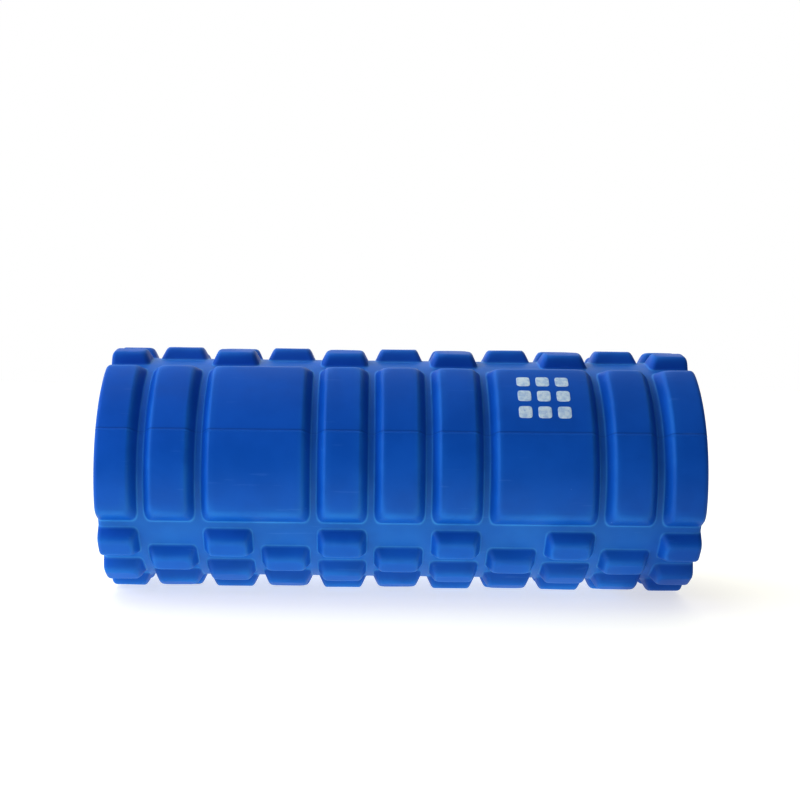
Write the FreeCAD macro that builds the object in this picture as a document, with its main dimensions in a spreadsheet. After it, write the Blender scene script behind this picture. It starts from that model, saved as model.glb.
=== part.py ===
import FreeCAD, Part
import os

import Sketcher

# A foam massage roller: a hollow core tube, the adhesive film on it, the moulded foam sleeve with
# its block tread, and a printed mark on one block.
#
# Frame: millimetres, the origin in the middle of the roller's axis, +X along the axis, +Z up. The
# roller lies on a row of small blocks, and -Y is its front.
#
# The tread repeats after half a turn. Along each of the two parting lines of the mould runs a row of
# bars, long blocks that wrap about a quarter turn. Midway between the parting lines lie the pads,
# small blocks in staggered rows: four rows in the odd columns, three in the even columns.

COLUMNS = 11                          # columns of blocks along the roller
WIDE_CENTRES = (-2.5, 2.5)            # the two double-width bars, in columns from the middle
SINGLE_CENTRES = (-5, -4, -1, 0, 1, 4, 5)
ODD_CENTRES = (-5, -3, -1, 1, 3, 5)
EVEN_CENTRES = (-4, -2, 0, 2, 4)
ODD_ROWS = (-1.5, -0.5, 0.5, 1.5)     # rows of pads, in row pitches from the middle of their zone
EVEN_ROWS = (-1, 0, 1)
MARK_STEPS = (-1, 0, 1)               # the printed squares, in mark pitches from the middle
TOOL_OVERSIZE = 1.5                   # cutting and trimming shapes reach this far past the roller

DRIVING_SIZES = {
    "roller_length": 330.0,           # over the foam's two end faces
    "outer_radius": 70.0,             # to the tops of the blocks
    "tread_depth": 6.7,               # from the tops of the blocks to the channel floor
    "bore_radius": 46.5,              # inside of the core tube
    "core_wall": 3.5,
    "core_recess": 1.0,               # each core end lies this far inside the foam's end face
    "core_chamfer": 0.8,
    "film_thickness": 0.25,           # adhesive between the core and the foam
    "film_setback": 0.5,              # each film end lies this far inside the core's end
    "tread_overrun": 7.1,             # how far the columns would run on past each end face
    "channel_width": 3.4,             # ring channel between two columns, at its floor
    "bar_flank_run": 4.0,             # how far a bar's sides lean in from floor to top
    "pad_flank_run": 3.1,
    "pad_inset": 0.35,                # how far a pad's sides stand back from a bar's
    "row_pitch": 22.0,                # degrees from one row of pads to the next
    "pad_foot_angle": 8.8,            # half angle of a pad at the channel floor
    "pad_top_angle": 4.6,             # half angle of a pad at its top
    "bar_foot_angle": 44.5,           # half angle of a bar at the channel floor
    "bar_top_angle": 38.0,            # half angle of a bar at its top
    "root_depth": 2.0,                # how deep a block's foot is sunk in the sleeve's wall
    "parting_angle": 22.0,            # front parting line above the horizontal
    "mark_rise": 19.0,                # the mark's middle above the parting line, in degrees
    "mark_square": 7.4,               # side of one printed square
    "mark_pitch": 10.6,               # from one printed square to the next
    "mark_thickness": 0.12,           # layer of ink
}

# Sizes that follow from the driving sizes, as expressions on the sheet.
HALF_LENGTH = "sizes.roller_length / 2"
FLOOR_RADIUS = "(sizes.outer_radius - sizes.tread_depth)"
ROOT_RADIUS = f"({FLOOR_RADIUS} - sizes.root_depth)"
CORE_RADIUS = "(sizes.bore_radius + sizes.core_wall)"
FILM_RADIUS = f"({CORE_RADIUS} + sizes.film_thickness)"
CORE_HALF_LENGTH = f"({HALF_LENGTH} - sizes.core_recess)"
FILM_HALF_LENGTH = f"({CORE_HALF_LENGTH} - sizes.film_setback)"
COLUMN_PITCH = f"((sizes.roller_length + 2 * sizes.tread_overrun) / {COLUMNS})"
BAR_HALF_LENGTH = f"(({COLUMN_PITCH} - sizes.channel_width) / 2)"
PAD_HALF_LENGTH = f"({BAR_HALF_LENGTH} - sizes.pad_inset)"
CLEAR_RADIUS = f"({TOOL_OVERSIZE} * sizes.outer_radius)"
CLEAR_LENGTH = f"({TOOL_OVERSIZE} * sizes.roller_length)"

ACROSS_AXIS = FreeCAD.Rotation(0.5, 0.5, 0.5, 0.5)                    # a sketch plane in Y and Z
ALONG_AXIS = FreeCAD.Rotation(FreeCAD.Vector(1, 0, 0), 90)            # a sketch plane in X and Z
TO_AXIS = FreeCAD.Rotation(FreeCAD.Vector(0, 1, 0), 90)               # a cylinder's Z turned to X

doc = FreeCAD.newDocument("foam_roller")


def make_sheet():
    """Writes the driving sizes to the spreadsheet, one to a row, each with its alias."""
    sheet = doc.addObject("Spreadsheet::Sheet", "sizes")
    for row, (alias, value) in enumerate(DRIVING_SIZES.items(), start=1):
        sheet.set(f"A{row}", alias)
        sheet.set(f"B{row}", str(value))
        sheet.setAlias(f"B{row}", alias)
    doc.recompute()


def add_outline(sketch, corners):
    """Adds a closed outline of straight lines through corners, pairs of expressions on the sheet."""
    first = sketch.GeometryCount
    count = len(corners)
    places = [[float(sketch.evalExpression(text)) for text in corner] for corner in corners]
    points = [FreeCAD.Vector(across, up, 0) for across, up in places]
    for index in range(count):
        sketch.addGeometry(Part.LineSegment(points[index], points[(index + 1) % count]))
    for index in range(count):
        following = first + (index + 1) % count
        sketch.addConstraint(Sketcher.Constraint("Coincident", first + index, 2, following, 1))
        for kind, text, value in zip(("DistanceX", "DistanceY"), corners[index], places[index]):
            constraint = Sketcher.Constraint(kind, -1, 1, first + index, 1, value)
            number = sketch.addConstraint(constraint)
            sketch.setExpression(f"Constraints[{number}]", text)


def origin_feature(body, role):
    """Returns the body's own origin plane or axis of that role."""
    return next(item for item in body.Origin.OriginFeatures if item.Role == role)


def turned_body(label, corners):
    """Makes a body by revolving an outline in the X-Z plane once around the X axis."""
    body = doc.addObject("PartDesign::Body", label)
    body.Label = label
    sketch = body.newObject("Sketcher::SketchObject", f"{label}_section")
    sketch.AttachmentSupport = [(origin_feature(body, "XZ_Plane"), "")]
    sketch.MapMode = "FlatFace"
    doc.recompute()
    add_outline(sketch, corners)
    turned = body.newObject("PartDesign::Revolution", f"{label}_turned")
    turned.Profile = sketch
    turned.ReferenceAxis = (origin_feature(body, "X_Axis"), [""])
    turned.Angle = 360
    body.Tip = turned
    doc.recompute()
    return body


def cylinder(name, radius, length):
    """Makes a cylinder on the X axis, centred on the origin."""
    solid = doc.addObject("Part::Cylinder", name)
    solid.setExpression("Radius", radius)
    solid.setExpression("Height", length)
    solid.Placement = FreeCAD.Placement(FreeCAD.Vector(), TO_AXIS)
    solid.setExpression("Placement.Base.x", f"-({length}) / 2")
    return solid


def tube(name, outer, inner, length):
    """Makes a tube on the X axis, centred on the origin."""
    shell = doc.addObject("Part::Cut", name)
    shell.Base = cylinder(f"{name}_outside", outer, length)
    shell.Tool = cylinder(f"{name}_inside", inner, CLEAR_LENGTH)
    return shell


def block_rings(name, spans, half_length, flank_run):
    """Revolves a block's section along the roller into full rings.

    spans holds pairs of a ring's centre, in columns from the middle, and the columns that it covers.
    A ring over one column is twice half_length long at the channel floor, its foot is root_depth
    deeper than that floor, and its sides lean in by flank_run.
    """
    sketch = doc.addObject("Sketcher::SketchObject", f"{name}_section")
    sketch.Placement = FreeCAD.Placement(FreeCAD.Vector(), ALONG_AXIS)
    for centre, columns in spans:
        middle = f"{centre} * {COLUMN_PITCH}"
        foot = f"({half_length} + {columns - 1} * {COLUMN_PITCH} / 2)"
        top = f"({foot} - {flank_run})"
        add_outline(sketch, [
            (f"{middle} - {foot}", ROOT_RADIUS),
            (f"{middle} - {foot}", FLOOR_RADIUS),
            (f"{middle} - {top}", "sizes.outer_radius"),
            (f"{middle} + {top}", "sizes.outer_radius"),
            (f"{middle} + {foot}", FLOOR_RADIUS),
            (f"{middle} + {foot}", ROOT_RADIUS),
        ])
    rings = doc.addObject("Part::Revolution", name)
    rings.Source = sketch
    rings.Axis = FreeCAD.Vector(1, 0, 0)
    rings.Angle = 360
    rings.Solid = True
    rings.FaceMakerClass = "Part::FaceMakerBullseye"
    return rings


def pad_rings(name, centres):
    """Revolves the rings of one column's pads at each of the centres."""
    spans = [(centre, 1) for centre in centres]
    return block_rings(name, spans, PAD_HALF_LENGTH, "sizes.pad_flank_run")


def sector_outline(name, foot_angle, top_angle):
    """Draws a block's section across the roller, centred on +Z.

    From the foot angle at the channel floor its two flanks lean in to the top angle at the block's
    top. It runs on past the top, so that the ring it meets gives the block its round top.
    """
    sketch = doc.addObject("Sketcher::SketchObject", name)
    sketch.Placement = FreeCAD.Placement(FreeCAD.Vector(), ACROSS_AXIS)
    right = [
        (ROOT_RADIUS, foot_angle),
        (FLOOR_RADIUS, foot_angle),
        ("sizes.outer_radius", top_angle),
        (CLEAR_RADIUS, top_angle),
    ]
    corners = [(f"{radius} * sin({angle})", f"{radius} * cos({angle})") for radius, angle in right]
    mirrored = [(f"-{across}", up) for across, up in reversed(corners)]
    add_outline(sketch, corners + mirrored)
    return sketch


def sector_prisms(name, outline, turns):
    """Extrudes the outline along the roller, once at each of the turns around the axis."""
    prisms = []
    for index, turn in enumerate(turns):
        prism = doc.addObject("Part::Extrusion", f"{name}_{index}")
        prism.Base = outline
        prism.DirMode = "Custom"
        prism.Dir = FreeCAD.Vector(1, 0, 0)
        prism.Solid = True
        prism.Symmetric = True
        prism.setExpression("LengthFwd", CLEAR_LENGTH)
        prism.Placement = FreeCAD.Placement(FreeCAD.Vector(), FreeCAD.Rotation(FreeCAD.Vector(1, 0, 0), 1))
        prism.setExpression("Placement.Rotation.Angle", turn)
        prisms.append(prism)
    group = doc.addObject("Part::Compound", name)
    group.Links = prisms
    return group


def blocks(name, rings, prisms):
    """Keeps what a set of rings and a set of prisms share: one kind of block."""
    shared = doc.addObject("Part::Common", name)
    shared.Base = rings
    shared.Tool = prisms
    return shared


def row_turns(rows):
    """Returns the turns of the pad rows in both zones, whose middles are at +Z and at -Z."""
    return [f"{zone} + {row} * sizes.row_pitch" for zone in (0, 180) for row in rows]


def make_core_tube():
    """The stiff tube that carries the load, open at both ends, with chamfered rims."""
    inner = "(sizes.bore_radius + sizes.core_chamfer)"
    outer = f"({CORE_RADIUS} - sizes.core_chamfer)"
    chamfer_end = f"({CORE_HALF_LENGTH} - sizes.core_chamfer)"
    right = [
        (chamfer_end, "sizes.bore_radius"),
        (CORE_HALF_LENGTH, inner),
        (CORE_HALF_LENGTH, outer),
        (chamfer_end, CORE_RADIUS),
    ]
    left = [(f"-{along}", radius) for along, radius in reversed(right)]
    return turned_body("core_tube", right + left)


def make_bond_film():
    """The adhesive that holds the foam on the core."""
    return turned_body("bond_film", [
        (FILM_HALF_LENGTH, CORE_RADIUS),
        (FILM_HALF_LENGTH, FILM_RADIUS),
        (f"-{FILM_HALF_LENGTH}", FILM_RADIUS),
        (f"-{FILM_HALF_LENGTH}", CORE_RADIUS),
    ])


def make_foam_sleeve():
    """The moulded foam: a tube to the channel floor with bars and pads on it, cut at both ends."""
    wall = tube("sleeve_wall", FLOOR_RADIUS, FILM_RADIUS, "sizes.roller_length")
    bar_spans = [(centre, 1) for centre in SINGLE_CENTRES] + [(centre, 2) for centre in WIDE_CENTRES]
    bar_outline = sector_outline("bar_outline", "sizes.bar_foot_angle", "sizes.bar_top_angle")
    pad_outline = sector_outline("pad_outline", "sizes.pad_foot_angle", "sizes.pad_top_angle")
    bars = blocks(
        "bars",
        block_rings("bar_rings", bar_spans, BAR_HALF_LENGTH, "sizes.bar_flank_run"),
        sector_prisms("bar_sectors", bar_outline, ["90", "270"]),
    )
    odd_pads = blocks(
        "odd_pads",
        pad_rings("odd_rings", ODD_CENTRES),
        sector_prisms("odd_sectors", pad_outline, row_turns(ODD_ROWS)),
    )
    even_pads = blocks(
        "even_pads",
        pad_rings("even_rings", EVEN_CENTRES),
        sector_prisms("even_sectors", pad_outline, row_turns(EVEN_ROWS)),
    )
    tread = doc.addObject("Part::MultiFuse", "tread")
    tread.Shapes = [wall, bars, odd_pads, even_pads]
    sleeve = doc.addObject("Part::Common", "foam_sleeve")
    sleeve.Base = tread
    sleeve.Tool = cylinder("end_trim", CLEAR_RADIUS, "sizes.roller_length")
    sleeve.Refine = True
    sleeve.Placement = FreeCAD.Placement(FreeCAD.Vector(), FreeCAD.Rotation(FreeCAD.Vector(-1, 0, 0), 1))
    sleeve.setExpression("Placement.Rotation.Angle", "sizes.parting_angle")
    return sleeve


def make_printed_mark():
    """Nine printed squares on the top of the right-hand wide bar, made at +Z and turned into place."""
    ink_radius = "(sizes.outer_radius + sizes.mark_thickness)"
    layer = tube("ink_layer", ink_radius, "sizes.outer_radius", "sizes.roller_length")
    squares = []
    for along in MARK_STEPS:
        for around in MARK_STEPS:
            square = doc.addObject("Part::Box", f"mark_square_{len(squares)}")
            square.setExpression("Length", "sizes.mark_square")
            square.setExpression("Width", "sizes.mark_square")
            square.setExpression("Height", "sizes.outer_radius")
            middle = f"{max(WIDE_CENTRES)} * {COLUMN_PITCH} + {along} * sizes.mark_pitch"
            across = f"({around}) * sizes.mark_pitch"
            square.setExpression("Placement.Base.x", f"{middle} - sizes.mark_square / 2")
            square.setExpression("Placement.Base.y", f"{across} - sizes.mark_square / 2")
            square.setExpression("Placement.Base.z", "sizes.outer_radius / 2")
            squares.append(square)
    stamp = doc.addObject("Part::Compound", "mark_stamp")
    stamp.Links = squares
    mark = doc.addObject("Part::Common", "printed_mark")
    mark.Base = layer
    mark.Tool = stamp
    mark.Placement = FreeCAD.Placement(FreeCAD.Vector(), FreeCAD.Rotation(FreeCAD.Vector(1, 0, 0), 1))
    mark.setExpression("Placement.Rotation.Angle", "90 - sizes.parting_angle - sizes.mark_rise")
    return mark


def check(parts):
    """Stops with a message when an object failed, or a part is empty or not valid."""
    failed = [item.Name for item in doc.Objects if {"Invalid", "Error"} & set(item.State)]
    if failed:
        raise RuntimeError("failed objects: " + ", ".join(failed))
    for part in parts:
        shape = part.Shape
        if shape.isNull() or not shape.isValid() or not shape.Solids:
            raise RuntimeError(f"{part.Label} has no valid solid")
        solids, faces = len(shape.Solids), len(shape.Faces)
        print(f"{part.Label}: {solids} solids, {faces} faces, {shape.Volume:.0f} mm3")


make_sheet()
subparts = [make_core_tube(), make_bond_film(), make_foam_sleeve(), make_printed_mark()]
for subpart in subparts:
    subpart.Label = subpart.Name
doc.recompute()
check(subparts)
os.makedirs("parts", exist_ok=True)
for subpart in subparts:
    subpart.Shape.exportStep(f"parts/{subpart.Label}.step")
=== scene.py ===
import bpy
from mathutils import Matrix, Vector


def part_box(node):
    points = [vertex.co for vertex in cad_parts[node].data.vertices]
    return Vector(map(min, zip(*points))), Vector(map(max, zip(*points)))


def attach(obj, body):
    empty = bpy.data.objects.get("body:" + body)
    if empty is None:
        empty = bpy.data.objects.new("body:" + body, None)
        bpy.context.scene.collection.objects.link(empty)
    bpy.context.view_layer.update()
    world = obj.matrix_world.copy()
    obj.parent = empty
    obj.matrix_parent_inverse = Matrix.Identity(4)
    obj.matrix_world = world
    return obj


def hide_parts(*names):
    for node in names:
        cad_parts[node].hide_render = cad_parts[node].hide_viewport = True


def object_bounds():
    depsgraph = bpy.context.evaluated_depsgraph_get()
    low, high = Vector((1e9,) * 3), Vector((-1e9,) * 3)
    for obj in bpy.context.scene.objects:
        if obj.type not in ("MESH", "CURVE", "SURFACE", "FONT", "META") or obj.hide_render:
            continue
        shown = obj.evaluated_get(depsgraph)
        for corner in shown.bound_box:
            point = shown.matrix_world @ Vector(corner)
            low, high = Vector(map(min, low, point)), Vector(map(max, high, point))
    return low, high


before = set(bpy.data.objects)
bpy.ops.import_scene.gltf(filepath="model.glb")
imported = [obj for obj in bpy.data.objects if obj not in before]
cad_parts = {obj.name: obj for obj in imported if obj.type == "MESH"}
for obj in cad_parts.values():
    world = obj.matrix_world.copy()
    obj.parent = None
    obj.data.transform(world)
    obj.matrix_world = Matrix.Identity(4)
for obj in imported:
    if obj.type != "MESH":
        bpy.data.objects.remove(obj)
CAD_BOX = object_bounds()

"""A foam massage roller: a stiff core tube in a moulded foam sleeve with a tread of bars and pads.

Lengths are in metres and angles in degrees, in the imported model's frame: +X along the roller's axis
and +Z up. Tread angles are counted from the front parting line of the mould, upwards.
"""
import logging
import math
from dataclasses import dataclass, field
from enum import Enum

import bpy
import numpy as np
from mathutils import Matrix, Vector

LOG = logging.getLogger("foam_roller")
MM = 0.001
BODY = "root"
PARTING_ANGLE = 22.0     # the front parting line stands this far above -Y
PAIR = tuple[float, float]
TRIPLE = tuple[float, float, float]
COLOUR = tuple[float, float, float, float]
EVEN = (1.0, 1.0, 1.0)   # a pattern's scale along the axes where nothing is stretched


class BlockKind(Enum):
    """The two kinds of block in the tread."""

    BAR = "bar"
    PAD = "pad"


# ---------------------------------------------------------------- numpy helpers


def smooth_min(first: np.ndarray, second: np.ndarray | float, blend: float) -> np.ndarray:
    """Returns the smaller of two fields, with the crease between them rounded off.

    Where the fields differ by less than blend, the result dips below the smaller one by a quarter
    of (blend - difference) squared over blend, a parabola that meets both fields smoothly.

    Args:
        first: The first field.
        second: The second field, or a plain number.
        blend: The difference at which the rounding starts.

    Returns:
        The blended field.
    """
    overlap = np.maximum(blend - np.abs(first - second), 0.0) / blend
    return np.minimum(first, second) - overlap * overlap * blend / 4


def wrap_angle(angle: np.ndarray) -> np.ndarray:
    """Returns angles in degrees brought into the range from -180 to 180."""
    return (angle + 180.0) % 360.0 - 180.0


def graded_lines(low: float, high: float, coarse: float, bands: list[TRIPLE]) -> np.ndarray:
    """Returns grid lines from low to high, closer together inside the given bands.

    The wanted step is a function of place: coarse, and the band's own step inside a band. The lines
    lie where the integral of one over the step reaches equal shares of its total.

    Args:
        low: The first line.
        high: The last line.
        coarse: The step outside all bands.
        bands: The start, end and step of each band.

    Returns:
        The places of the lines, both ends included.
    """
    samples = 40001
    place = np.linspace(low, high, samples)
    step = np.full_like(place, coarse)
    for start, end, fine in bands:
        inside = (place >= start) & (place <= end)
        step[inside] = np.minimum(step[inside], fine)
    density = 1.0 / step
    total = np.concatenate([[0.0], np.cumsum((density[1:] + density[:-1]) / 2 * np.diff(place))])
    count = max(2, int(math.ceil(total[-1])))
    return np.interp(np.linspace(0.0, total[-1], count + 1), total, place)


def ripple(along: np.ndarray, around: np.ndarray, waves: int, length: PAIR, seed: int) -> np.ndarray:
    """Returns gentle unevenness between about -1 and 1 that closes on itself around the roller.

    It is a sum of sine waves of random direction and phase. Along the roller their lengths lie
    between the two given, and around it each has a whole number of periods.

    Args:
        along: The place along the axis, in metres.
        around: The tread angle, in degrees.
        waves: How many waves are added.
        length: The shortest and the longest wave, in metres.
        seed: The seed of the random numbers.

    Returns:
        The unevenness at each point.
    """
    girth = 0.44
    random = np.random.default_rng(seed)
    total = np.zeros(np.broadcast(along, around).shape)
    for _ in range(waves):
        wave = random.uniform(*length)
        periods = round(random.uniform(-1.0, 1.0) * girth / wave)
        phase = random.uniform(0.0, 2 * math.pi)
        total = total + np.sin(2 * math.pi * along / wave + np.radians(around) * periods + phase)
    return total / math.sqrt(waves)


def on_cylinder(along: np.ndarray, radius: np.ndarray, around: np.ndarray) -> np.ndarray:
    """Returns points at a place along the axis, a radius and a tread angle, as (..., 3) arrays."""
    turn = np.radians(around + PARTING_ANGLE)
    along, radius, turn = np.broadcast_arrays(along, radius, turn)
    return np.stack([along, -radius * np.cos(turn), radius * np.sin(turn)], axis=-1)


def grid_faces(rows: int, columns: int, close_rows: bool, close_columns: bool) -> np.ndarray:
    """Returns the quads of a grid whose vertex (i, j) has the number i * columns + j.

    Args:
        rows: The number of rows of vertices.
        columns: The number of columns of vertices.
        close_rows: Whether the last row joins the first.
        close_columns: Whether the last column joins the first.

    Returns:
        An array of four vertex numbers a quad.
    """
    row = np.arange(rows if close_rows else rows - 1)[:, None]
    column = np.arange(columns if close_columns else columns - 1)[None, :]
    next_row, next_column = (row + 1) % rows, (column + 1) % columns
    corners = [row * columns + column, row * columns + next_column,
               next_row * columns + next_column, next_row * columns + column]
    return np.stack(np.broadcast_arrays(*corners), axis=-1).reshape(-1, 4)


def signed_volume(points: np.ndarray, quads: np.ndarray) -> float:
    """Returns six times the volume that the quads enclose, negative where they face inwards."""
    a, b, c, d = (points[quads[:, index]] for index in range(4))
    return float(np.sum(np.cross(a, b) * c) + np.sum(np.cross(a, c) * d))


def make_object(name: str, points: np.ndarray, quads: np.ndarray,
                attributes: dict[str, np.ndarray] | None = None) -> bpy.types.Object:
    """Makes a smooth mesh object at the origin from whole arrays of points and quads.

    A quad whose first two corners are the same point becomes a triangle, which closes a pole. Faces
    are turned outwards, by the sign of the volume that they enclose.

    Args:
        name: The object's name.
        points: The vertices, one row each.
        quads: Four vertex numbers a face.
        attributes: Named values, one for each vertex, where there are any.

    Returns:
        The new object, linked to the scene.
    """
    if signed_volume(points, quads) < 0:
        quads = quads[:, ::-1]
    mesh = bpy.data.meshes.new(name)
    faces = [tuple(dict.fromkeys(quad)) for quad in quads.tolist()]
    mesh.from_pydata(points.tolist(), [], faces)
    mesh.polygons.foreach_set("use_smooth", np.ones(len(mesh.polygons), dtype=bool))
    for key, values in (attributes or {}).items():
        layer = mesh.attributes.new(key, "FLOAT", "POINT")
        layer.data.foreach_set("value", np.ascontiguousarray(values, dtype=np.float32).ravel())
    mesh.validate()
    mesh.update()
    piece = bpy.data.objects.new(name, mesh)
    bpy.context.scene.collection.objects.link(piece)
    return piece


def place_piece(piece: bpy.types.Object, node: str, material: bpy.types.Material) -> None:
    """Dresses a piece, lets it ride on the roller and stand for its CAD node.

    Args:
        piece: The new piece.
        node: The CAD node that it replaces.
        material: The material to put on it.
    """
    piece.data.materials.append(material)
    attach(piece, BODY)
    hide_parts(node)
    LOG.info("%s: %d vertices, %d faces",
             piece.name, len(piece.data.vertices), len(piece.data.polygons))


# ---------------------------------------------------------------- finishes


class Nodes:
    """A short hand for building one material's node tree."""

    def __init__(self, name: str) -> None:
        """Makes a material of that name, with its shader and output nodes."""
        self.material = bpy.data.materials.new(name)
        self.material.use_nodes = True
        self.tree = self.material.node_tree
        self.shader = self.tree.nodes["Principled BSDF"]
        self.place = self.add("ShaderNodeTexCoord").outputs["Object"]

    def add(self, kind: str, inputs: dict | None = None, **settings: object) -> bpy.types.Node:
        """Adds a node.

        Args:
            kind: The node's type name.
            inputs: Input names or numbers, each with a value or an output socket to link.
            settings: Properties to set on the node.

        Returns:
            The new node.
        """
        node = self.tree.nodes.new(kind)
        for key, value in settings.items():
            setattr(node, key, value)
        for key, value in (inputs or {}).items():
            self.feed(node.inputs[key], value)
        return node

    def feed(self, socket: bpy.types.NodeSocket, value: object) -> None:
        """Links an output to the socket, or sets the socket's value."""
        if isinstance(value, bpy.types.NodeSocket):
            self.tree.links.new(value, socket)
        else:
            socket.default_value = value

    def noise(self, scale: float, detail: float = 2.0, stretch: TRIPLE = EVEN) -> bpy.types.NodeSocket:
        """Returns a noise value from 0 to 1, with its pattern scaled along the axes."""
        place = self.add("ShaderNodeMapping", {"Vector": self.place, "Scale": stretch}).outputs[0]
        return self.add("ShaderNodeTexNoise", {"Vector": place, "Scale": scale, "Detail": detail}).outputs[0]

    def cells(self, scale: float) -> bpy.types.Node:
        """Adds a pattern of cells, with each one's distance from its middle and its own colour."""
        return self.add("ShaderNodeTexVoronoi", {"Vector": self.place, "Scale": scale})

    def remap(self, value: bpy.types.NodeSocket, source: PAIR, target: PAIR) -> bpy.types.NodeSocket:
        """Returns the value taken smoothly from one range to another, held at its ends."""
        inputs = {0: value, 1: source[0], 2: source[1], 3: target[0], 4: target[1]}
        return self.add("ShaderNodeMapRange", inputs, interpolation_type="SMOOTHSTEP").outputs[0]

    def mix(self, share: object, first: object, second: object) -> bpy.types.NodeSocket:
        """Returns a colour mixed from two, by a share from 0 to 1."""
        return self.add("ShaderNodeMix", {0: share, 6: first, 7: second}, data_type="RGBA").outputs[2]

    def combine(self, operation: str, first: object, second: object) -> bpy.types.NodeSocket:
        """Returns the result of a math node on two values."""
        return self.add("ShaderNodeMath", {0: first, 1: second}, operation=operation).outputs[0]

    def bump(self, height: bpy.types.NodeSocket, distance: float, strength: float,
             base: bpy.types.NodeSocket | None = None) -> bpy.types.NodeSocket:
        """Returns a normal raised by the height, on top of a base normal where one is given."""
        inputs = {"Height": height, "Distance": distance, "Strength": strength}
        if base is not None:
            inputs["Normal"] = base
        return self.add("ShaderNodeBump", inputs).outputs[0]

    def attribute(self, name: str) -> bpy.types.NodeSocket:
        """Returns the value of a named vertex attribute."""
        return self.add("ShaderNodeAttribute", attribute_name=name).outputs["Fac"]


@dataclass(frozen=True)
class FoamFinish:
    """Blue moulded EVA foam: a satin surface with fine grain, faint mottling, worn top edges with a
    painted highlight, a painted highlight at the blocks' feet, painted sheen on the channel floors
    and a painted shade line above the parting ridge.

    A pattern's scale is in features a metre, more or less, and a depth is in metres.
    """

    deep: COLOUR = (0.0034, 0.098, 0.445, 1.0)
    light: COLOUR = (0.0046, 0.110, 0.485, 1.0)
    crest_wear_and_highlight: COLOUR = (0.016, 0.175, 0.560, 1.0)
    # edge wear with a painted highlight along the blocks' top edges
    foot_highlight_and_sheen: COLOUR = (0.060, 0.28, 0.66, 1.0)
    # painted shade: the dark colour of a line laid just above the parting ridge
    painted_seam_shade: COLOUR = (0.0025, 0.070, 0.320, 1.0)
    # painted highlight along the blocks' feet, and painted sheen on the channel floors
    speck: COLOUR = (0.12, 0.28, 0.66, 1.0)
    roughness: PAIR = (0.40, 0.50)
    specular: float = 0.2
    mottle_scale: float = 46.0
    patch_scale: float = 45.0        # breaks in the worn crests and their painted highlight
    break_scale: float = 60.0        # breaks in the painted highlight at the feet and the painted sheen on the channels
    seam_shade_share: float = 0.75         # the share of painted shade just above the parting line
    scuff_scale: float = 52.0
    scuff_stretch: TRIPLE = (0.7, 7.0, 9.0)
    scuff_share: float = 0.11
    dust_scale: float = 130.0
    dust_size: PAIR = (0.025, 0.055)
    streak_scale: float = 60.0
    streak_stretch: TRIPLE = (0.35, 5.0, 5.0)
    peel_scale: float = 260.0
    peel_depth: float = 0.00010
    grain_scale: float = 1500.0
    grain_depth: float = 0.00005
    cut: COLOUR = (0.008, 0.140, 0.500, 1.0)
    cell_scale: float = 950.0        # the open cells of the cut end faces
    cell_depth: float = 0.00025

    def material(self) -> bpy.types.Material:
        """Returns the foam's material."""
        nodes = Nodes("foam_blue")
        mottle = nodes.remap(nodes.noise(self.mottle_scale, 4.0), (0.32, 0.68), (0.0, 1.0))
        colour = nodes.mix(mottle, self.deep, self.light)
        patches = nodes.remap(nodes.noise(self.patch_scale, 3.0), (0.3, 0.7), (0.2, 0.6))
        # edge wear with a painted highlight along the blocks' top edges, placed by the crest value
        colour = self.blend(nodes, "crest", patches, colour, self.crest_wear_and_highlight)
        breaks = nodes.remap(nodes.noise(self.break_scale, 2.0), (0.3, 0.7), (0.5, 0.72))
        # painted highlight at the blocks' feet and painted sheen on the channel floors, placed by the foot
        # value
        colour = self.blend(nodes, "foot", breaks, colour, self.foot_highlight_and_sheen)
        # painted shade: a dark line just above the parting ridge, placed by the seam value
        colour = self.blend(nodes, "seam", self.seam_shade_share, colour, self.painted_seam_shade)
        cells = nodes.cells(self.cell_scale)
        shade = nodes.remap(cells.outputs["Color"], (0.0, 1.0), (0.1, 0.9))
        colour = self.blend(nodes, "cut", shade, colour, self.cut)
        scuffs = nodes.noise(self.scuff_scale, 2.0, self.scuff_stretch)
        colour = nodes.mix(nodes.remap(scuffs, (0.67, 0.75), (0.0, self.scuff_share)), colour, self.speck)
        dust = nodes.cells(self.dust_scale)
        dot = nodes.remap(dust.outputs["Distance"], self.dust_size, (1.0, 0.0))
        rare = nodes.remap(dust.outputs["Color"], (0.80, 0.86), (0.0, 0.6))
        colour = nodes.mix(nodes.combine("MULTIPLY", dot, rare), colour, self.speck)
        nodes.feed(nodes.shader.inputs["Base Color"], colour)
        streak = nodes.noise(self.streak_scale, 5.0, self.streak_stretch)
        worn = nodes.combine("ADD", nodes.combine("MULTIPLY", streak, 0.5),
                             nodes.combine("MULTIPLY", mottle, 0.5))
        nodes.feed(nodes.shader.inputs["Roughness"], nodes.remap(worn, (0.2, 0.8), self.roughness))
        nodes.shader.inputs["Specular IOR Level"].default_value = self.specular
        peel = nodes.bump(nodes.noise(self.peel_scale, 2.0), self.peel_depth, 0.5)
        grain = nodes.bump(nodes.noise(self.grain_scale, 2.0), self.grain_depth, 0.6, peel)
        walls = nodes.remap(cells.outputs["Distance"], (0.0, 0.5), (0.0, 1.0))
        open_cells = nodes.combine("MULTIPLY", walls, nodes.attribute("cut"))
        nodes.feed(nodes.shader.inputs["Normal"], nodes.bump(open_cells, self.cell_depth, 0.7, grain))
        return nodes.material

    @staticmethod
    def blend(nodes: Nodes, name: str, share: object, first: object, second: object) -> bpy.types.NodeSocket:
        """Mixes in a second colour where a vertex attribute is high, by the share given.

        Args:
            nodes: The material's nodes.
            name: The attribute's name.
            share: How much of the second colour there is where the attribute is 1.
            first: The colour so far.
            second: The colour to mix in.

        Returns:
            The mixed colour.
        """
        return nodes.mix(nodes.combine("MULTIPLY", nodes.attribute(name), share), first, second)


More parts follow.
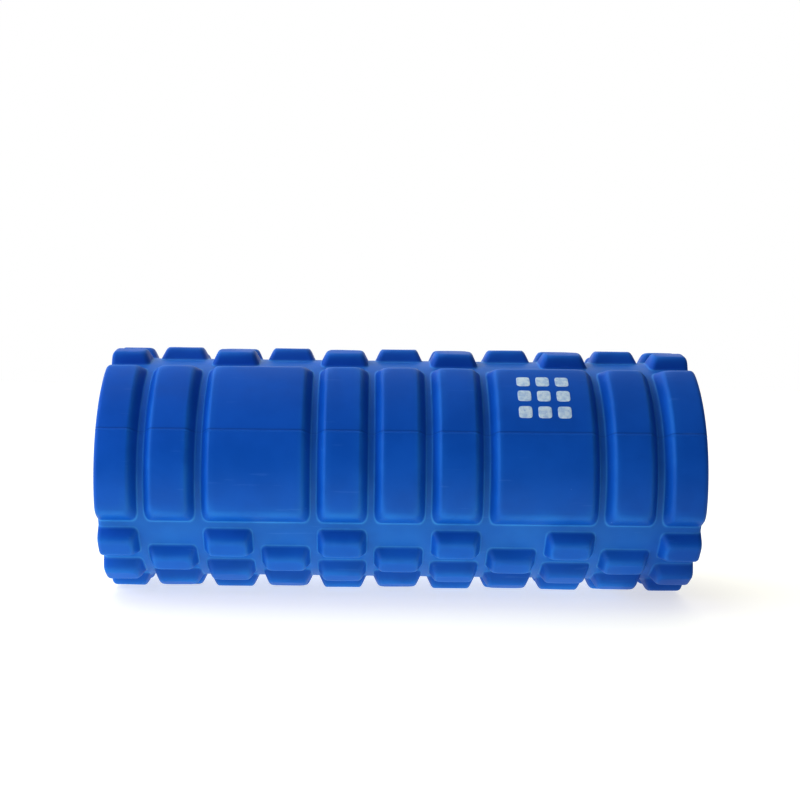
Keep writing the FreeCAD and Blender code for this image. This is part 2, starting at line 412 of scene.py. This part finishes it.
@dataclass(frozen=True)
class CorePlasticFinish:
    """Black extruded plastic: satin, with faint draw lines along the tube."""

    dark: COLOUR = (0.013, 0.014, 0.016, 1.0)
    pale: COLOUR = (0.026, 0.027, 0.030, 1.0)
    roughness: PAIR = (0.52, 0.57)
    specular: float = 0.3
    line_scale: float = 900.0
    line_stretch: TRIPLE = (0.006, 1.0, 1.0)
    line_depth: float = 0.000008
    cloud_scale: float = 35.0
    grain_scale: float = 1300.0
    grain_depth: float = 0.00003

    def material(self) -> bpy.types.Material:
        """Returns the core tube's material."""
        nodes = Nodes("core_black")
        lines = nodes.noise(self.line_scale, 3.0, self.line_stretch)
        cloud = nodes.remap(nodes.noise(self.cloud_scale, 4.0), (0.35, 0.7), (0.0, 1.0))
        nodes.feed(nodes.shader.inputs["Base Color"], nodes.mix(cloud, self.dark, self.pale))
        nodes.feed(nodes.shader.inputs["Roughness"], nodes.remap(lines, (0.3, 0.7), self.roughness))
        nodes.shader.inputs["Specular IOR Level"].default_value = self.specular
        drawn = nodes.bump(lines, self.line_depth, 0.3)
        grain = nodes.bump(nodes.noise(self.grain_scale), self.grain_depth, 0.5, drawn)
        nodes.feed(nodes.shader.inputs["Normal"], grain)
        return nodes.material


@dataclass(frozen=True)
class AdhesiveFinish:
    """Cured contact adhesive: amber, slightly glossy and uneven."""

    thin: COLOUR = (0.48, 0.36, 0.17, 1.0)
    thick: COLOUR = (0.30, 0.19, 0.07, 1.0)
    roughness: PAIR = (0.25, 0.45)
    lump_scale: float = 240.0
    lump_depth: float = 0.0002

    def material(self) -> bpy.types.Material:
        """Returns the bond film's material."""
        nodes = Nodes("adhesive_amber")
        lumps = nodes.noise(self.lump_scale, 3.0)
        share = nodes.remap(lumps, (0.35, 0.65), (0.0, 1.0))
        nodes.feed(nodes.shader.inputs["Base Color"], nodes.mix(share, self.thin, self.thick))
        nodes.feed(nodes.shader.inputs["Roughness"], nodes.remap(lumps, (0.3, 0.7), self.roughness))
        nodes.feed(nodes.shader.inputs["Normal"], nodes.bump(lumps, self.lump_depth, 0.6))
        return nodes.material


@dataclass(frozen=True)
class InkFinish:
    """White pad-printed ink: matt, a little uneven, with pinholes where the foam shows through."""

    ink: COLOUR = (0.62, 0.71, 0.80, 1.0)
    thin: COLOUR = (0.40, 0.53, 0.72, 1.0)
    pinhole: COLOUR = (0.05, 0.16, 0.52, 1.0)
    roughness: PAIR = (0.5, 0.62)
    patch_scale: float = 420.0
    hole_scale: float = 1900.0
    hole_share: float = 0.8
    grain_scale: float = 1500.0
    grain_depth: float = 0.00004

    def material(self) -> bpy.types.Material:
        """Returns the printed mark's material."""
        nodes = Nodes("ink_white")
        patch = nodes.remap(nodes.noise(self.patch_scale, 4.0), (0.35, 0.7), (0.0, 1.0))
        colour = nodes.mix(patch, self.ink, self.thin)
        holes = nodes.remap(nodes.noise(self.hole_scale, 2.0), (0.66, 0.72), (0.0, self.hole_share))
        nodes.feed(nodes.shader.inputs["Base Color"], nodes.mix(holes, colour, self.pinhole))
        nodes.feed(nodes.shader.inputs["Roughness"], nodes.remap(patch, (0.0, 1.0), self.roughness))
        grain = nodes.bump(nodes.noise(self.grain_scale), self.grain_depth, 0.5)
        nodes.feed(nodes.shader.inputs["Normal"], grain)
        return nodes.material


@dataclass(frozen=True)
class FloorFinish:
    """A plain pale table top."""

    pale: COLOUR = (0.42, 0.42, 0.41, 1.0)
    paler: COLOUR = (0.45, 0.45, 0.44, 1.0)
    glow: COLOUR = (1.0, 0.975, 0.92, 1.0)
    glow_strength: float = 0.685
    roughness: float = 0.7
    cloud_scale: float = 6.0

    def material(self) -> bpy.types.Material:
        """Returns the floor's material."""
        nodes = Nodes("floor_pale")
        cloud = nodes.noise(self.cloud_scale, 3.0)
        nodes.feed(nodes.shader.inputs["Base Color"], nodes.mix(cloud, self.pale, self.paler))
        nodes.shader.inputs["Roughness"].default_value = self.roughness
        nodes.shader.inputs["Emission Color"].default_value = self.glow
        nodes.shader.inputs["Emission Strength"].default_value = self.glow_strength
        return nodes.material


# ---------------------------------------------------------------- the tread


@dataclass(frozen=True)
class Block:
    """One raised block of the tread.

    Lengths are along the axis. Angles are around it, from the front parting line.
    """

    middle: float            # along the axis
    half_length: float       # at the channel floor
    angle: float
    half_angle: float        # at the channel floor
    flank: float             # how far the left and right flanks lean in
    flank_around: float      # how far the upper and lower flanks lean in
    lift: float              # this block's own small difference in height


@dataclass(frozen=True)
class Tread:
    """The pattern of bars and pads, and the shape of their flanks and edges."""

    length: float
    outer_radius: float
    columns: int = 11
    overrun: float = 7.1 * MM             # how far the columns would run on past each end
    depth: float = 6.7 * MM
    channel: float = 3.4 * MM
    bar_flank: float = 4.0 * MM           # how far a bar's left and right flanks lean in
    pad_flank: float = 3.1 * MM
    pad_inset: float = 0.35 * MM          # how much a pad's ends stand back from a bar's
    row_pitch: float = 22.0
    bar_half_angle: float = 44.5
    bar_top_angle: float = 38.0
    pad_half_angle: float = 8.8
    pad_top_angle: float = 4.6
    corner_blend: float = 1.0             # rounding of a block's plan corners, as a share of its flank
    crest_blend: float = 0.34             # rounding of its top edge, as a share of its height
    foot_blend: float = 0.07              # rounding of its foot
    crest_spread: float = 0.35            # how far the worn edge and its painted highlight reach, as a share of a flank
    foot_spread: float = 0.09             # how far the painted highlight at the foot reaches up a flank
    channel_sheen_share: float = 0.3             # the foot's value on the channel floor, which paints sheen there
    ridge_height: float = 0.30 * MM       # the mould's parting line
    ridge_width: float = 0.40 * MM
    ridge_in_channel: float = 0.4         # the ridge's share of its height on the channel floor
    seam_drop: float = 0.9 * MM           # how far above the ridge's middle the painted shade lies
    seam_in_channel: float = 0.25
    unevenness: float = 0.07 * MM
    wave_length: PAIR = (0.02, 0.09)      # of the unevenness
    lift_spread: float = 0.05 * MM        # spread of the blocks' heights
    seed: int = 11

    @property
    def pitch(self) -> float:
        """The distance from one column to the next."""
        return (self.length + 2 * self.overrun) / self.columns

    @property
    def floor_radius(self) -> float:
        """The radius of the channel floor."""
        return self.outer_radius - self.depth

    def block(self, kind: BlockKind, column: float, width: int, angle: float, lift: float) -> Block:
        """Works out one block's outline and flanks.

        Args:
            kind: Bar or pad, which settles its flanks and how far it reaches around.
            column: The column that its middle stands in.
            width: How many columns it fills.
            angle: The tread angle of its middle.
            lift: Its own small difference in height.

        Returns:
            The block.
        """
        if kind is BlockKind.BAR:
            flank, inset, half, top = self.bar_flank, 0.0, self.bar_half_angle, self.bar_top_angle
        else:
            flank, inset, half, top = self.pad_flank, self.pad_inset, self.pad_half_angle, self.pad_top_angle
        half_length = (width * self.pitch - self.channel) / 2 - inset
        flank_around = math.radians(half - top) * self.floor_radius
        return Block(column * self.pitch, half_length, angle, half, flank, flank_around, lift)

    def blocks(self) -> list[Block]:
        """Returns every block: bars on both parting lines, staggered pads between them."""
        random = np.random.default_rng(self.seed)
        bars = [(column, 1) for column in (-5, -4, -1, 0, 1, 4, 5)] + [(-2.5, 2), (2.5, 2)]
        found = []
        for side in (0.0, 180.0):
            places = [(BlockKind.BAR, column, width, side) for column, width in bars]
            for column in range(-5, 6):
                rows = (-1.5, -0.5, 0.5, 1.5) if column % 2 else (-1, 0, 1)
                places += [(BlockKind.PAD, column, 1, side + 90.0 + row * self.row_pitch) for row in rows]
            found += [self.block(*place, random.normal(0.0, self.lift_spread)) for place in places]
        return found

    def radius(self, along: np.ndarray, around: np.ndarray) -> tuple[np.ndarray, dict[str, np.ndarray]]:
        """Works out the tread's surface over a grid.

        For each block, the distance in from its foot outline, as a share of its flank, is taken
        along and around, and the smaller of the two, blended, rises from 0 at the foot to 1 at the
        top's edge. Held under 1 with a blend it is the block's height, and blended with 0 it meets
        the channel floor. The tallest block counts at each point. A bell-shaped ridge follows each
        parting line, lower in the channels, and slow ripples make the surface slightly uneven.

        The nearness to a top edge, which carries the edge wear and its painted highlight, is a bell
        of the rise about 1. The nearness to a foot, which carries the painted highlight at the feet,
        is one about 0, and it never falls under the channel floor's painted sheen share outside the
        blocks.

        Args:
            along: Places along the axis, one to each row.
            around: Tread angles, one to each column.

        Returns:
            The radius at each point, and the nearness to a top edge, to a foot and to the seam.
        """
        x, angle = along[:, None], around[None, :]
        rise = np.full((len(along), len(around)), -1.0)
        lift = np.zeros_like(rise)
        for block in self.blocks():
            inward_x = (block.half_length - np.abs(x - block.middle)) / block.flank
            off = np.radians(np.abs(wrap_angle(angle - block.angle))) * self.floor_radius
            reach = math.radians(block.half_angle) * self.floor_radius
            inward = smooth_min(inward_x, (reach - off) / block.flank_around, self.corner_blend)
            lift = np.where(inward > rise, block.lift, lift)
            rise = np.maximum(rise, inward)
        height = smooth_min(rise, 1.0, self.crest_blend)
        height = -smooth_min(-height, 0.0, self.foot_blend)
        # the crest value marks the edge wear and its painted highlight along the top edges
        crest = np.exp(-((rise - 1.0) / self.crest_spread) ** 2)
        # the foot value marks the painted highlight at the feet and the painted sheen on the channel floor
        foot = np.exp(-(rise / self.foot_spread) ** 2)
        foot = np.where(rise < 0.0, self.channel_sheen_share + (1 - self.channel_sheen_share) * foot, foot)
        upward = np.where(np.abs(wrap_angle(angle)) < 90.0, 1.0, -1.0)
        parting = np.radians(wrap_angle(2 * angle) / 2) * upward * self.outer_radius
        lowered = self.ridge_in_channel + (1 - self.ridge_in_channel) * height
        fading = self.seam_in_channel + (1 - self.seam_in_channel) * height
        ridge = self.ridge_height * np.exp(-(parting / self.ridge_width) ** 2) * lowered
        # the seam value marks where the painted shade lies, just above the parting ridge
        seam = np.exp(-((parting - self.seam_drop) / self.ridge_width) ** 2) * fading
        waves = 14
        slow = ripple(x, angle, waves, self.wave_length, self.seed + 1) * self.unevenness
        radius = self.floor_radius + height * (self.depth + lift) + ridge + slow * lowered
        return radius, {"crest": crest, "foot": foot, "seam": seam}


@dataclass
class FoamSleeve:
    """The moulded foam: tread, rounded end rims, slightly hollow end faces and a plain bore."""

    tread: Tread
    bore_radius: float
    rim: float = 2.8 * MM                 # rounding between the tread and the end faces
    bore_rim: float = 0.9 * MM
    dish: float = 0.25 * MM               # how far the end faces are hollowed
    dish_swing: float = 0.3               # how much that depth differs around the roller
    dish_waves: int = 5
    dish_length: PAIR = (0.05, 0.2)
    seed: int = 5
    step_flank: float = 0.42 * MM         # grid steps along the axis
    step_channel: float = 0.6 * MM
    step_plain: float = 3.5 * MM
    step_parting: float = 0.14            # grid steps around the roller, in degrees
    step_row: float = 0.5
    step_bar: float = 3.0
    fill: float = 1.0
    finish: FoamFinish = field(default_factory=FoamFinish)

    def lines_along(self) -> np.ndarray:
        """Returns the grid lines along the axis, closest together on the blocks' flanks."""
        tread = self.tread
        end = tread.length / 2 - self.rim
        foot_margin, crest_margin = 0.5 * MM, 1.5 * MM
        near = tread.channel / 2 - foot_margin
        far = tread.channel / 2 + tread.bar_flank + crest_margin
        bands = []
        for channel in range(tread.columns - 1):
            middle = (channel - (tread.columns - 2) / 2) * tread.pitch
            bands += [(middle - far, middle - near, self.step_flank),
                      (middle + near, middle + far, self.step_flank),
                      (middle - near, middle + near, self.step_channel)]
        return graded_lines(-end, end, self.step_plain, bands)

    def lines_around(self) -> np.ndarray:
        """Returns the grid lines around the roller, closest together on flanks and parting lines."""
        tread = self.tread
        first_row = 90.0 - 1.5 * tread.row_pitch - tread.pad_half_angle
        half_turn = graded_lines(0.0, 180.0, self.step_bar, [
            (0.0, 1.6, self.step_parting), (178.4, 180.0, self.step_parting),
            (first_row - 1.0, 181.0 - first_row, self.step_row),
            (tread.bar_top_angle - 2.5, tread.bar_half_angle + 1.5, self.step_row),
            (178.5 - tread.bar_half_angle, 182.5 - tread.bar_top_angle, self.step_row),
        ])
        return np.concatenate([half_turn[:-1], half_turn[:-1] + 180.0])

    def section(self, around: np.ndarray) -> tuple[np.ndarray, np.ndarray, dict[str, np.ndarray]]:
        """Works out the closed section that runs over the tread and back through the bore.

        From the middle of the right end face it goes out and round the rim, a quarter circle that
        is taken off the tread's radius, along the tread to the left rim and face, and back inside.
        The end faces are hollowed by half a sine wave from the bore to the rim.

        Args:
            around: The grid lines around the roller.

        Returns:
            The place along the axis, the radius, and the named values, row by row.
        """
        end = self.tread.length / 2
        inner = self.bore_radius
        bend = np.linspace(math.pi / 2, 0.0, 7)[:-1]
        rim_x = end - self.rim + self.rim * np.sin(bend)
        lines = self.lines_along()[::-1]
        along = np.concatenate([rim_x, lines, -rim_x[::-1]])
        drop = np.concatenate([1 - np.cos(bend), np.zeros(len(lines)), (1 - np.cos(bend))[::-1]]) * self.rim
        radius, values = self.tread.radius(along, around)
        radius = radius - drop[:, None]
        x = np.repeat(along[:, None], len(around), axis=1)
        share = np.array([0.0, 0.04, 0.35, 0.7, 0.93])[:, None]
        wavy = ripple(np.zeros(1), around, self.dish_waves, self.dish_length, self.seed)
        hollow = np.sin(np.pi * share) * (1 + self.dish_swing * wavy)
        face_x = end - self.dish * hollow
        face_r = inner + self.bore_rim + share * (radius[0] - inner - self.bore_rim)
        left_face_r = inner + self.bore_rim + share[::-1] * (radius[-1] - inner - self.bore_rim)
        flat = np.zeros_like(radius[:1])
        corner = np.radians([60.0, 30.0])[:, None]
        turn_r = inner + self.bore_rim * (1 - np.sin(corner)) + flat
        turn_x = end - self.bore_rim * (1 - np.cos(corner)) + flat
        inside_x = np.linspace(-end + self.bore_rim, end - self.bore_rim, 7)[:, None] + flat
        inside_r = np.full_like(inside_x, inner)
        rows_x = [turn_x, face_x, x, -face_x[::-1], -turn_x[::-1], inside_x]
        rows_r = [turn_r, face_r, radius, left_face_r, turn_r[::-1], inside_r]
        before = sum(len(rows) for rows in rows_x[:2])
        after = sum(len(rows) for rows in rows_x[3:])
        named = {name: np.pad(value, ((before, after), (0, 0))) for name, value in values.items()}
        is_face = (0.0, 1.0, 0.0, 1.0, 0.0, 0.0)
        named["cut"] = np.concatenate([np.full_like(*pair) for pair in zip(rows_x, is_face)])
        return np.concatenate(rows_x), np.concatenate(rows_r), named

    def build(self) -> bpy.types.Object:
        """Makes the sleeve as one closed grid, joined to itself both ways."""
        around = self.lines_around()
        x, radius, values = self.section(around)
        points = on_cylinder(x, radius, around[None, :]).reshape(-1, 3)
        quads = grid_faces(x.shape[0], x.shape[1], True, True)
        piece = make_object("foam_sleeve_tread", points, quads, values)
        place_piece(piece, "foam_sleeve", self.finish.material())
        return piece


@dataclass
class CoreTube:
    """The extruded tube inside the foam, with eased rims."""

    inner_radius: float
    outer_radius: float
    half_length: float
    rim: float = 0.8 * MM
    columns: int = 256
    finish: CorePlasticFinish = field(default_factory=CorePlasticFinish)

    def build(self) -> bpy.types.Object:
        """Makes the tube by turning a closed section round the axis.

        Each corner of the section is a quarter circle of the rim's radius. Long walls are divided so
        that the shading stays even.
        """
        bend = np.radians(np.linspace(0.0, 90.0, 5))
        rim, half = self.rim, self.half_length
        out_x, out_r = half - rim + rim * np.sin(bend), self.outer_radius - rim + rim * np.cos(bend)
        in_x, in_r = half - rim + rim * np.cos(bend), self.inner_radius + rim - rim * np.sin(bend)
        wall = np.linspace(-half + rim, half - rim, 9)[1:-1]
        outer, inner = np.full_like(wall, self.outer_radius), np.full_like(wall, self.inner_radius)
        x = np.concatenate([wall, out_x, in_x, wall[::-1], -in_x[::-1], -out_x[::-1]])
        radius = np.concatenate([outer, out_r, in_r, inner, in_r[::-1], out_r[::-1]])
        around = np.linspace(0.0, 360.0, self.columns, endpoint=False)
        points = on_cylinder(x[:, None], radius[:, None], around[None, :]).reshape(-1, 3)
        quads = grid_faces(len(x), self.columns, True, True)
        piece = make_object("core_tube_extruded", points, quads)
        place_piece(piece, "core_tube", self.finish.material())
        return piece


@dataclass
class BondFilm:
    """The adhesive between core and foam, squeezed out in an uneven bead at each end."""

    inner_radius: float
    outer_radius: float
    half_length: float
    bead: float = 0.55 * MM
    bead_mean: float = 0.55               # its usual share of that size, and how much it differs
    bead_swing: float = 0.35
    bead_range: PAIR = (0.12, 1.2)
    bead_waves: int = 9
    bead_length: PAIR = (0.01, 0.08)
    bead_out: float = 0.6                 # how far out its middle stands, as a share of its size
    bead_in: float = 0.35                 # how far inwards it sags over the core
    bead_half: float = 0.7                # half its height
    seed: int = 23
    columns: int = 720
    finish: AdhesiveFinish = field(default_factory=AdhesiveFinish)

    def build(self) -> bpy.types.Object:
        """Makes the film as a thin closed tube whose ends swell into half-round beads.

        The bead's size follows a slow ripple around the roller, so that it stands out in places
        and hardly shows in others.
        """
        around = np.linspace(0.0, 360.0, self.columns, endpoint=False)
        wavy = ripple(np.zeros(1), around, self.bead_waves, self.bead_length, self.seed)
        size = self.bead * np.clip(self.bead_mean + self.bead_swing * wavy, *self.bead_range)[None, :]
        bend = np.radians(np.linspace(-90.0, 90.0, 7))[:, None]
        middle = (self.inner_radius + self.outer_radius) / 2
        thin = (self.outer_radius - self.inner_radius) / 2
        end_x = self.half_length + size * (self.bead_out + np.cos(bend))
        end_r = middle - size * self.bead_in + np.maximum(size * self.bead_half, thin) * np.sin(bend)
        end_r = np.minimum(end_r, self.outer_radius)
        wall_x = np.linspace(-self.half_length, self.half_length, 5)[:, None] + np.zeros_like(size)
        x = np.concatenate([wall_x, end_x[::-1], wall_x[::-1], -end_x])
        radius = np.concatenate([np.full_like(wall_x, self.outer_radius), end_r[::-1],
                                 np.full_like(wall_x, self.inner_radius), end_r])
        points = on_cylinder(x, radius, around[None, :]).reshape(-1, 3)
        piece = make_object("bond_film_beaded", points, grid_faces(x.shape[0], self.columns, True, True))
        place_piece(piece, "bond_film", self.finish.material())
        return piece


@dataclass
class PrintedMark:
    """Nine plain rounded squares, printed on the upper half of the right-hand wide bar."""

    tread: Tread
    middle: float
    rise: float = 19.0                    # the mark's middle above the parting line, in degrees
    side: float = 7.4 * MM
    pitch: float = 10.6 * MM
    ink: float = 0.05 * MM
    roundness: float = 5.0                # the power in the outline's formula
    columns: int = 48
    cells: int = 24                       # cells each way in the grid that is read for the foam
    finish: InkFinish = field(default_factory=InkFinish)

    def square(self, column: int, row: int) -> tuple[np.ndarray, np.ndarray]:
        """Works out one printed square as a thin closed slab that follows the foam.

        Its outline is a superellipse, |x|^n + |y|^n = 1. Rings shrink it to a pole in the middle of
        the top, and again to a pole underneath, just inside the foam.

        Args:
            column: The square's place along the axis, from -1 to 1.
            row: Its place around the roller, from -1 to 1.

        Returns:
            The points, ring by ring, and the faces that join them.
        """
        turn = np.linspace(0.0, 2 * math.pi, self.columns, endpoint=False)
        power = self.roundness
        spread = np.abs(np.cos(turn)) ** power + np.abs(np.sin(turn)) ** power
        reach = spread ** (-1 / power) * self.side / 2
        share = np.array([0.0, 0.35, 0.7, 0.94, 1.0, 1.0, 0.6, 0.0])[:, None]
        height = np.array([1.0, 1.0, 1.0, 1.0, 0.55, -1.0, -1.0, -1.0])[:, None] * self.ink
        x = self.middle + column * self.pitch + share * reach * np.cos(turn)
        arc = row * self.pitch + share * reach * np.sin(turn)
        angle = self.rise + np.degrees(arc / self.tread.outer_radius)
        foam = self.surface(x, angle)
        return on_cylinder(x, foam + height, angle).reshape(-1, 3), self.ring_faces(len(share))

    def surface(self, x: np.ndarray, angle: np.ndarray) -> np.ndarray:
        """Returns the foam's radius at each point, read from a fine grid of the tread."""
        lines_x = np.linspace(x.min(), x.max(), self.cells + 1)
        lines_a = np.linspace(angle.min(), angle.max(), self.cells + 1)
        grid = self.tread.radius(lines_x, lines_a)[0]
        place_x = (x - lines_x[0]) / (lines_x[1] - lines_x[0])
        place_a = (angle - lines_a[0]) / (lines_a[1] - lines_a[0])
        i = np.clip(place_x.astype(int), 0, self.cells - 1)
        j = np.clip(place_a.astype(int), 0, self.cells - 1)
        u, v = place_x - i, place_a - j
        return ((grid[i, j] * (1 - u) + grid[i + 1, j] * u) * (1 - v)
                + (grid[i, j + 1] * (1 - u) + grid[i + 1, j + 1] * u) * v)

    def ring_faces(self, rings: int) -> np.ndarray:
        """Returns the slab's quads, with each pole's ring gathered into its first point."""
        quads = grid_faces(rings, self.columns, False, True)
        quads = np.where(quads < self.columns, 0, quads)
        last = (rings - 1) * self.columns
        return np.where(quads >= last, last, quads)

    def build(self) -> bpy.types.Object:
        """Makes the nine squares as one piece."""
        points, faces, count = [], [], 0
        for column in (-1, 0, 1):
            for row in (-1, 0, 1):
                slab, quads = self.square(column, row)
                points.append(slab)
                faces.append(quads + count)
                count += len(slab)
        points, faces = np.concatenate(points), np.concatenate(faces)
        used, faces = np.unique(faces, return_inverse=True)
        piece = make_object("printed_mark_squares", points[used], faces.reshape(-1, 4))
        place_piece(piece, "printed_mark", self.finish.material())
        return piece


@dataclass
class RoomLight:
    """The light around the roller, as a function of direction.

    The camera sees plain white where there is no floor.
    """

    back_light: float = 1.3
    back_dimmed: float = 0.15             # the share of it that is left far to the right
    left_light: float = 2.0
    top_light: float = 0.5
    dim_light: float = 0.12

    def build(self) -> None:
        """Makes the world: a bright wall behind, a softer one on the left and a dim ceiling.

        Each is a smooth step of the direction's component towards it. The walls end at the horizon,
        and the back wall fades to the right. The brightest counts in each direction.
        """
        world = bpy.data.worlds.new("studio")
        bpy.context.scene.world = world
        world.use_nodes = True
        tree = world.node_tree
        split = tree.nodes.new("ShaderNodeSeparateXYZ")
        tree.links.new(tree.nodes.new("ShaderNodeTexCoord").outputs["Generated"], split.inputs[0])
        back = self.step(tree, split.outputs["Y"], (-0.05, 0.45), (0.0, self.back_light))
        fade = self.step(tree, split.outputs["X"], (0.1, 0.9), (1.0, self.back_dimmed))
        wall = self.join(tree, "MULTIPLY", back, fade)
        left = self.step(tree, split.outputs["X"], (-0.4, -1.0), (0.0, self.left_light))
        horizon = self.step(tree, split.outputs["Z"], (-0.15, 0.05), (0.0, 1.0))
        above = self.join(tree, "MULTIPLY", self.join(tree, "MAXIMUM", wall, left), horizon)
        ceiling = self.step(tree, split.outputs["Z"], (0.5, 1.0), (self.dim_light, self.top_light))
        lit = self.join(tree, "MAXIMUM", above, ceiling)
        pick = tree.nodes.new("ShaderNodeMix")
        tree.links.new(tree.nodes.new("ShaderNodeLightPath").outputs["Is Camera Ray"], pick.inputs[0])
        tree.links.new(lit, pick.inputs[2])
        pick.inputs[3].default_value = 1.0
        background = tree.nodes["Background"]
        tree.links.new(pick.outputs[0], background.inputs["Strength"])
        background.inputs["Color"].default_value = (1.0, 1.0, 1.0, 1.0)

    @staticmethod
    def step(tree: bpy.types.NodeTree, value: bpy.types.NodeSocket, source: PAIR,
             target: PAIR) -> bpy.types.NodeSocket:
        """Returns the value taken smoothly from one range to another, held at its ends."""
        node = tree.nodes.new("ShaderNodeMapRange")
        node.interpolation_type = "SMOOTHSTEP"
        tree.links.new(value, node.inputs[0])
        for index, number in enumerate((*source, *target), start=1):
            node.inputs[index].default_value = number
        return node.outputs[0]

    @staticmethod
    def join(tree: bpy.types.NodeTree, operation: str, first: bpy.types.NodeSocket,
             second: bpy.types.NodeSocket) -> bpy.types.NodeSocket:
        """Returns the result of a math node on two values."""
        node = tree.nodes.new("ShaderNodeMath")
        node.operation = operation
        tree.links.new(first, node.inputs[0])
        tree.links.new(second, node.inputs[1])
        return node.outputs[0]


@dataclass(frozen=True)
class FillLamp:
    """A soft rectangular lamp that fills shadows without showing or shining back."""

    name: str
    place: TRIPLE            # the middle of its face
    aim: TRIPLE              # the direction in which it shines
    size: PAIR
    power: float             # in watts
    tint: TRIPLE

    def build(self) -> None:
        """Hangs the lamp."""
        data = bpy.data.lights.new(self.name, "AREA")
        data.shape = "RECTANGLE"
        data.size, data.size_y = self.size
        data.energy = self.power
        data.color = self.tint
        lamp = bpy.data.objects.new(self.name, data)
        lamp.location = self.place
        lamp.rotation_euler = Vector(self.aim).to_track_quat("-Z", "Y").to_euler()
        lamp.visible_camera = False
        lamp.visible_glossy = False
        bpy.context.scene.collection.objects.link(lamp)


@dataclass
class Studio:
    """The pale floor, the soft light and the camera."""

    floor_height: float
    distance: float = 0.7220              # from the camera to the roller's axis
    elevation: float = 6.09
    swing: float = -0.32
    tilt: float = 3.17
    roll: float = 0.63
    aside: float = 22.5 * MM              # how far the camera stands left of the roller's middle
    lens: float = 54.83                   # in millimetres, like the sensor's width
    sensor_width: float = 36.0
    shift: float = 0.05
    table_side: float = 2.0
    table_front: float = 0.42
    table_back: float = 3.0
    lamp_gap: float = 0.05 * MM           # from the floor to the lamp that lies on it
    print_gamma: float = 0.8
    room: RoomLight = field(default_factory=RoomLight)
    finish: FloorFinish = field(default_factory=FloorFinish)

    def lamps(self) -> list[FillLamp]:
        """Returns the lamps: one overhead, one at the front on the left, and one on the table."""
        return [
            FillLamp("top_fill", (-0.40, 0.15, 1.25), (0.40, -0.15, -1.25), (1.2, 1.0), 9.3,
                     (1.0, 1.12, 0.80)),
            FillLamp("front_fill", (-0.55, -0.45, 0.42), (0.55, 0.38, -0.42), (0.6, 0.4), 1.95,
                     (0.80, 0.78, 1.30)),
            FillLamp("table_fill", (-0.62, 0.0, self.floor_height + self.lamp_gap), (0.0, 0.0, 1.0),
                     (1.5, 0.8), 2.95, (1.0, 1.2, 0.76)),
        ]

    def lay_floor(self) -> None:
        """Lays a glowing white table top that ends a little way in front of the roller."""
        side, front, back = self.table_side, -self.table_front, self.table_back
        corners = [(-side, front), (side, front), (side, back), (-side, back)]
        mesh = bpy.data.meshes.new("floor")
        mesh.from_pydata([(x, y, self.floor_height) for x, y in corners], [], [(0, 1, 2, 3)])
        floor = bpy.data.objects.new("floor", mesh)
        bpy.context.scene.collection.objects.link(floor)
        mesh.materials.append(self.finish.material())

    def set_camera(self) -> None:
        """Sets the camera by its distance, elevation, swing round the roller, tilt and roll."""
        rise, swing = math.radians(self.elevation), math.radians(self.swing)
        tilt, roll = math.radians(self.tilt), math.radians(self.roll)
        axis = Vector((1.0, 0.0, 0.0))
        towards = Vector((0.0, -math.cos(rise), math.sin(rise)))
        above = Vector((0.0, math.sin(rise), math.cos(rise)))
        right = math.cos(swing) * axis + math.sin(swing) * towards
        out = -math.sin(swing) * axis + math.cos(swing) * towards
        back = math.cos(tilt) * out - math.sin(tilt) * above
        up = math.cos(tilt) * above + math.sin(tilt) * out
        turned_right = math.cos(roll) * right + math.sin(roll) * up
        turned_up = math.cos(roll) * up - math.sin(roll) * right
        data = bpy.data.cameras.new("camera")
        data.sensor_width = self.sensor_width
        data.lens = self.lens
        data.shift_x = self.shift
        camera = bpy.data.objects.new("camera", data)
        bpy.context.scene.collection.objects.link(camera)
        basis = Matrix((turned_right, turned_up, back)).transposed().to_4x4()
        camera.matrix_world = Matrix.Translation(out * self.distance - right * self.aside) @ basis
        bpy.context.scene.camera = camera

    def build(self) -> None:
        """Makes the floor, the lights and the camera."""
        self.lay_floor()
        self.room.build()
        for lamp in self.lamps():
            lamp.build()
        self.set_camera()
        view = bpy.context.scene.view_settings
        view.view_transform = "Standard"
        view.gamma = self.print_gamma


def main() -> None:
    """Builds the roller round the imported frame, then the studio."""
    logging.basicConfig(level=logging.INFO, format="%(name)s: %(message)s")
    core_wall, table_gap = 3.5 * MM, 0.2 * MM
    wide_bar = 2.5                        # the right-hand wide bar's middle, in columns
    low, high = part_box("foam_sleeve")
    core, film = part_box("core_tube")[1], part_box("bond_film")[1]
    core_radius, film_radius = round(core.z, 4), round(film.z, 5)
    tread = Tread(length=high.x - low.x, outer_radius=round(high.y, 3))
    FoamSleeve(tread, bore_radius=film_radius).build()
    CoreTube(core_radius - core_wall, core_radius, core.x).build()
    BondFilm(core_radius, film_radius, film.x).build()
    PrintedMark(tread, middle=wide_bar * tread.pitch).build()
    Studio(floor_height=CAD_BOX[0].z - table_gap).build()


if __name__ == "__main__":
    main()
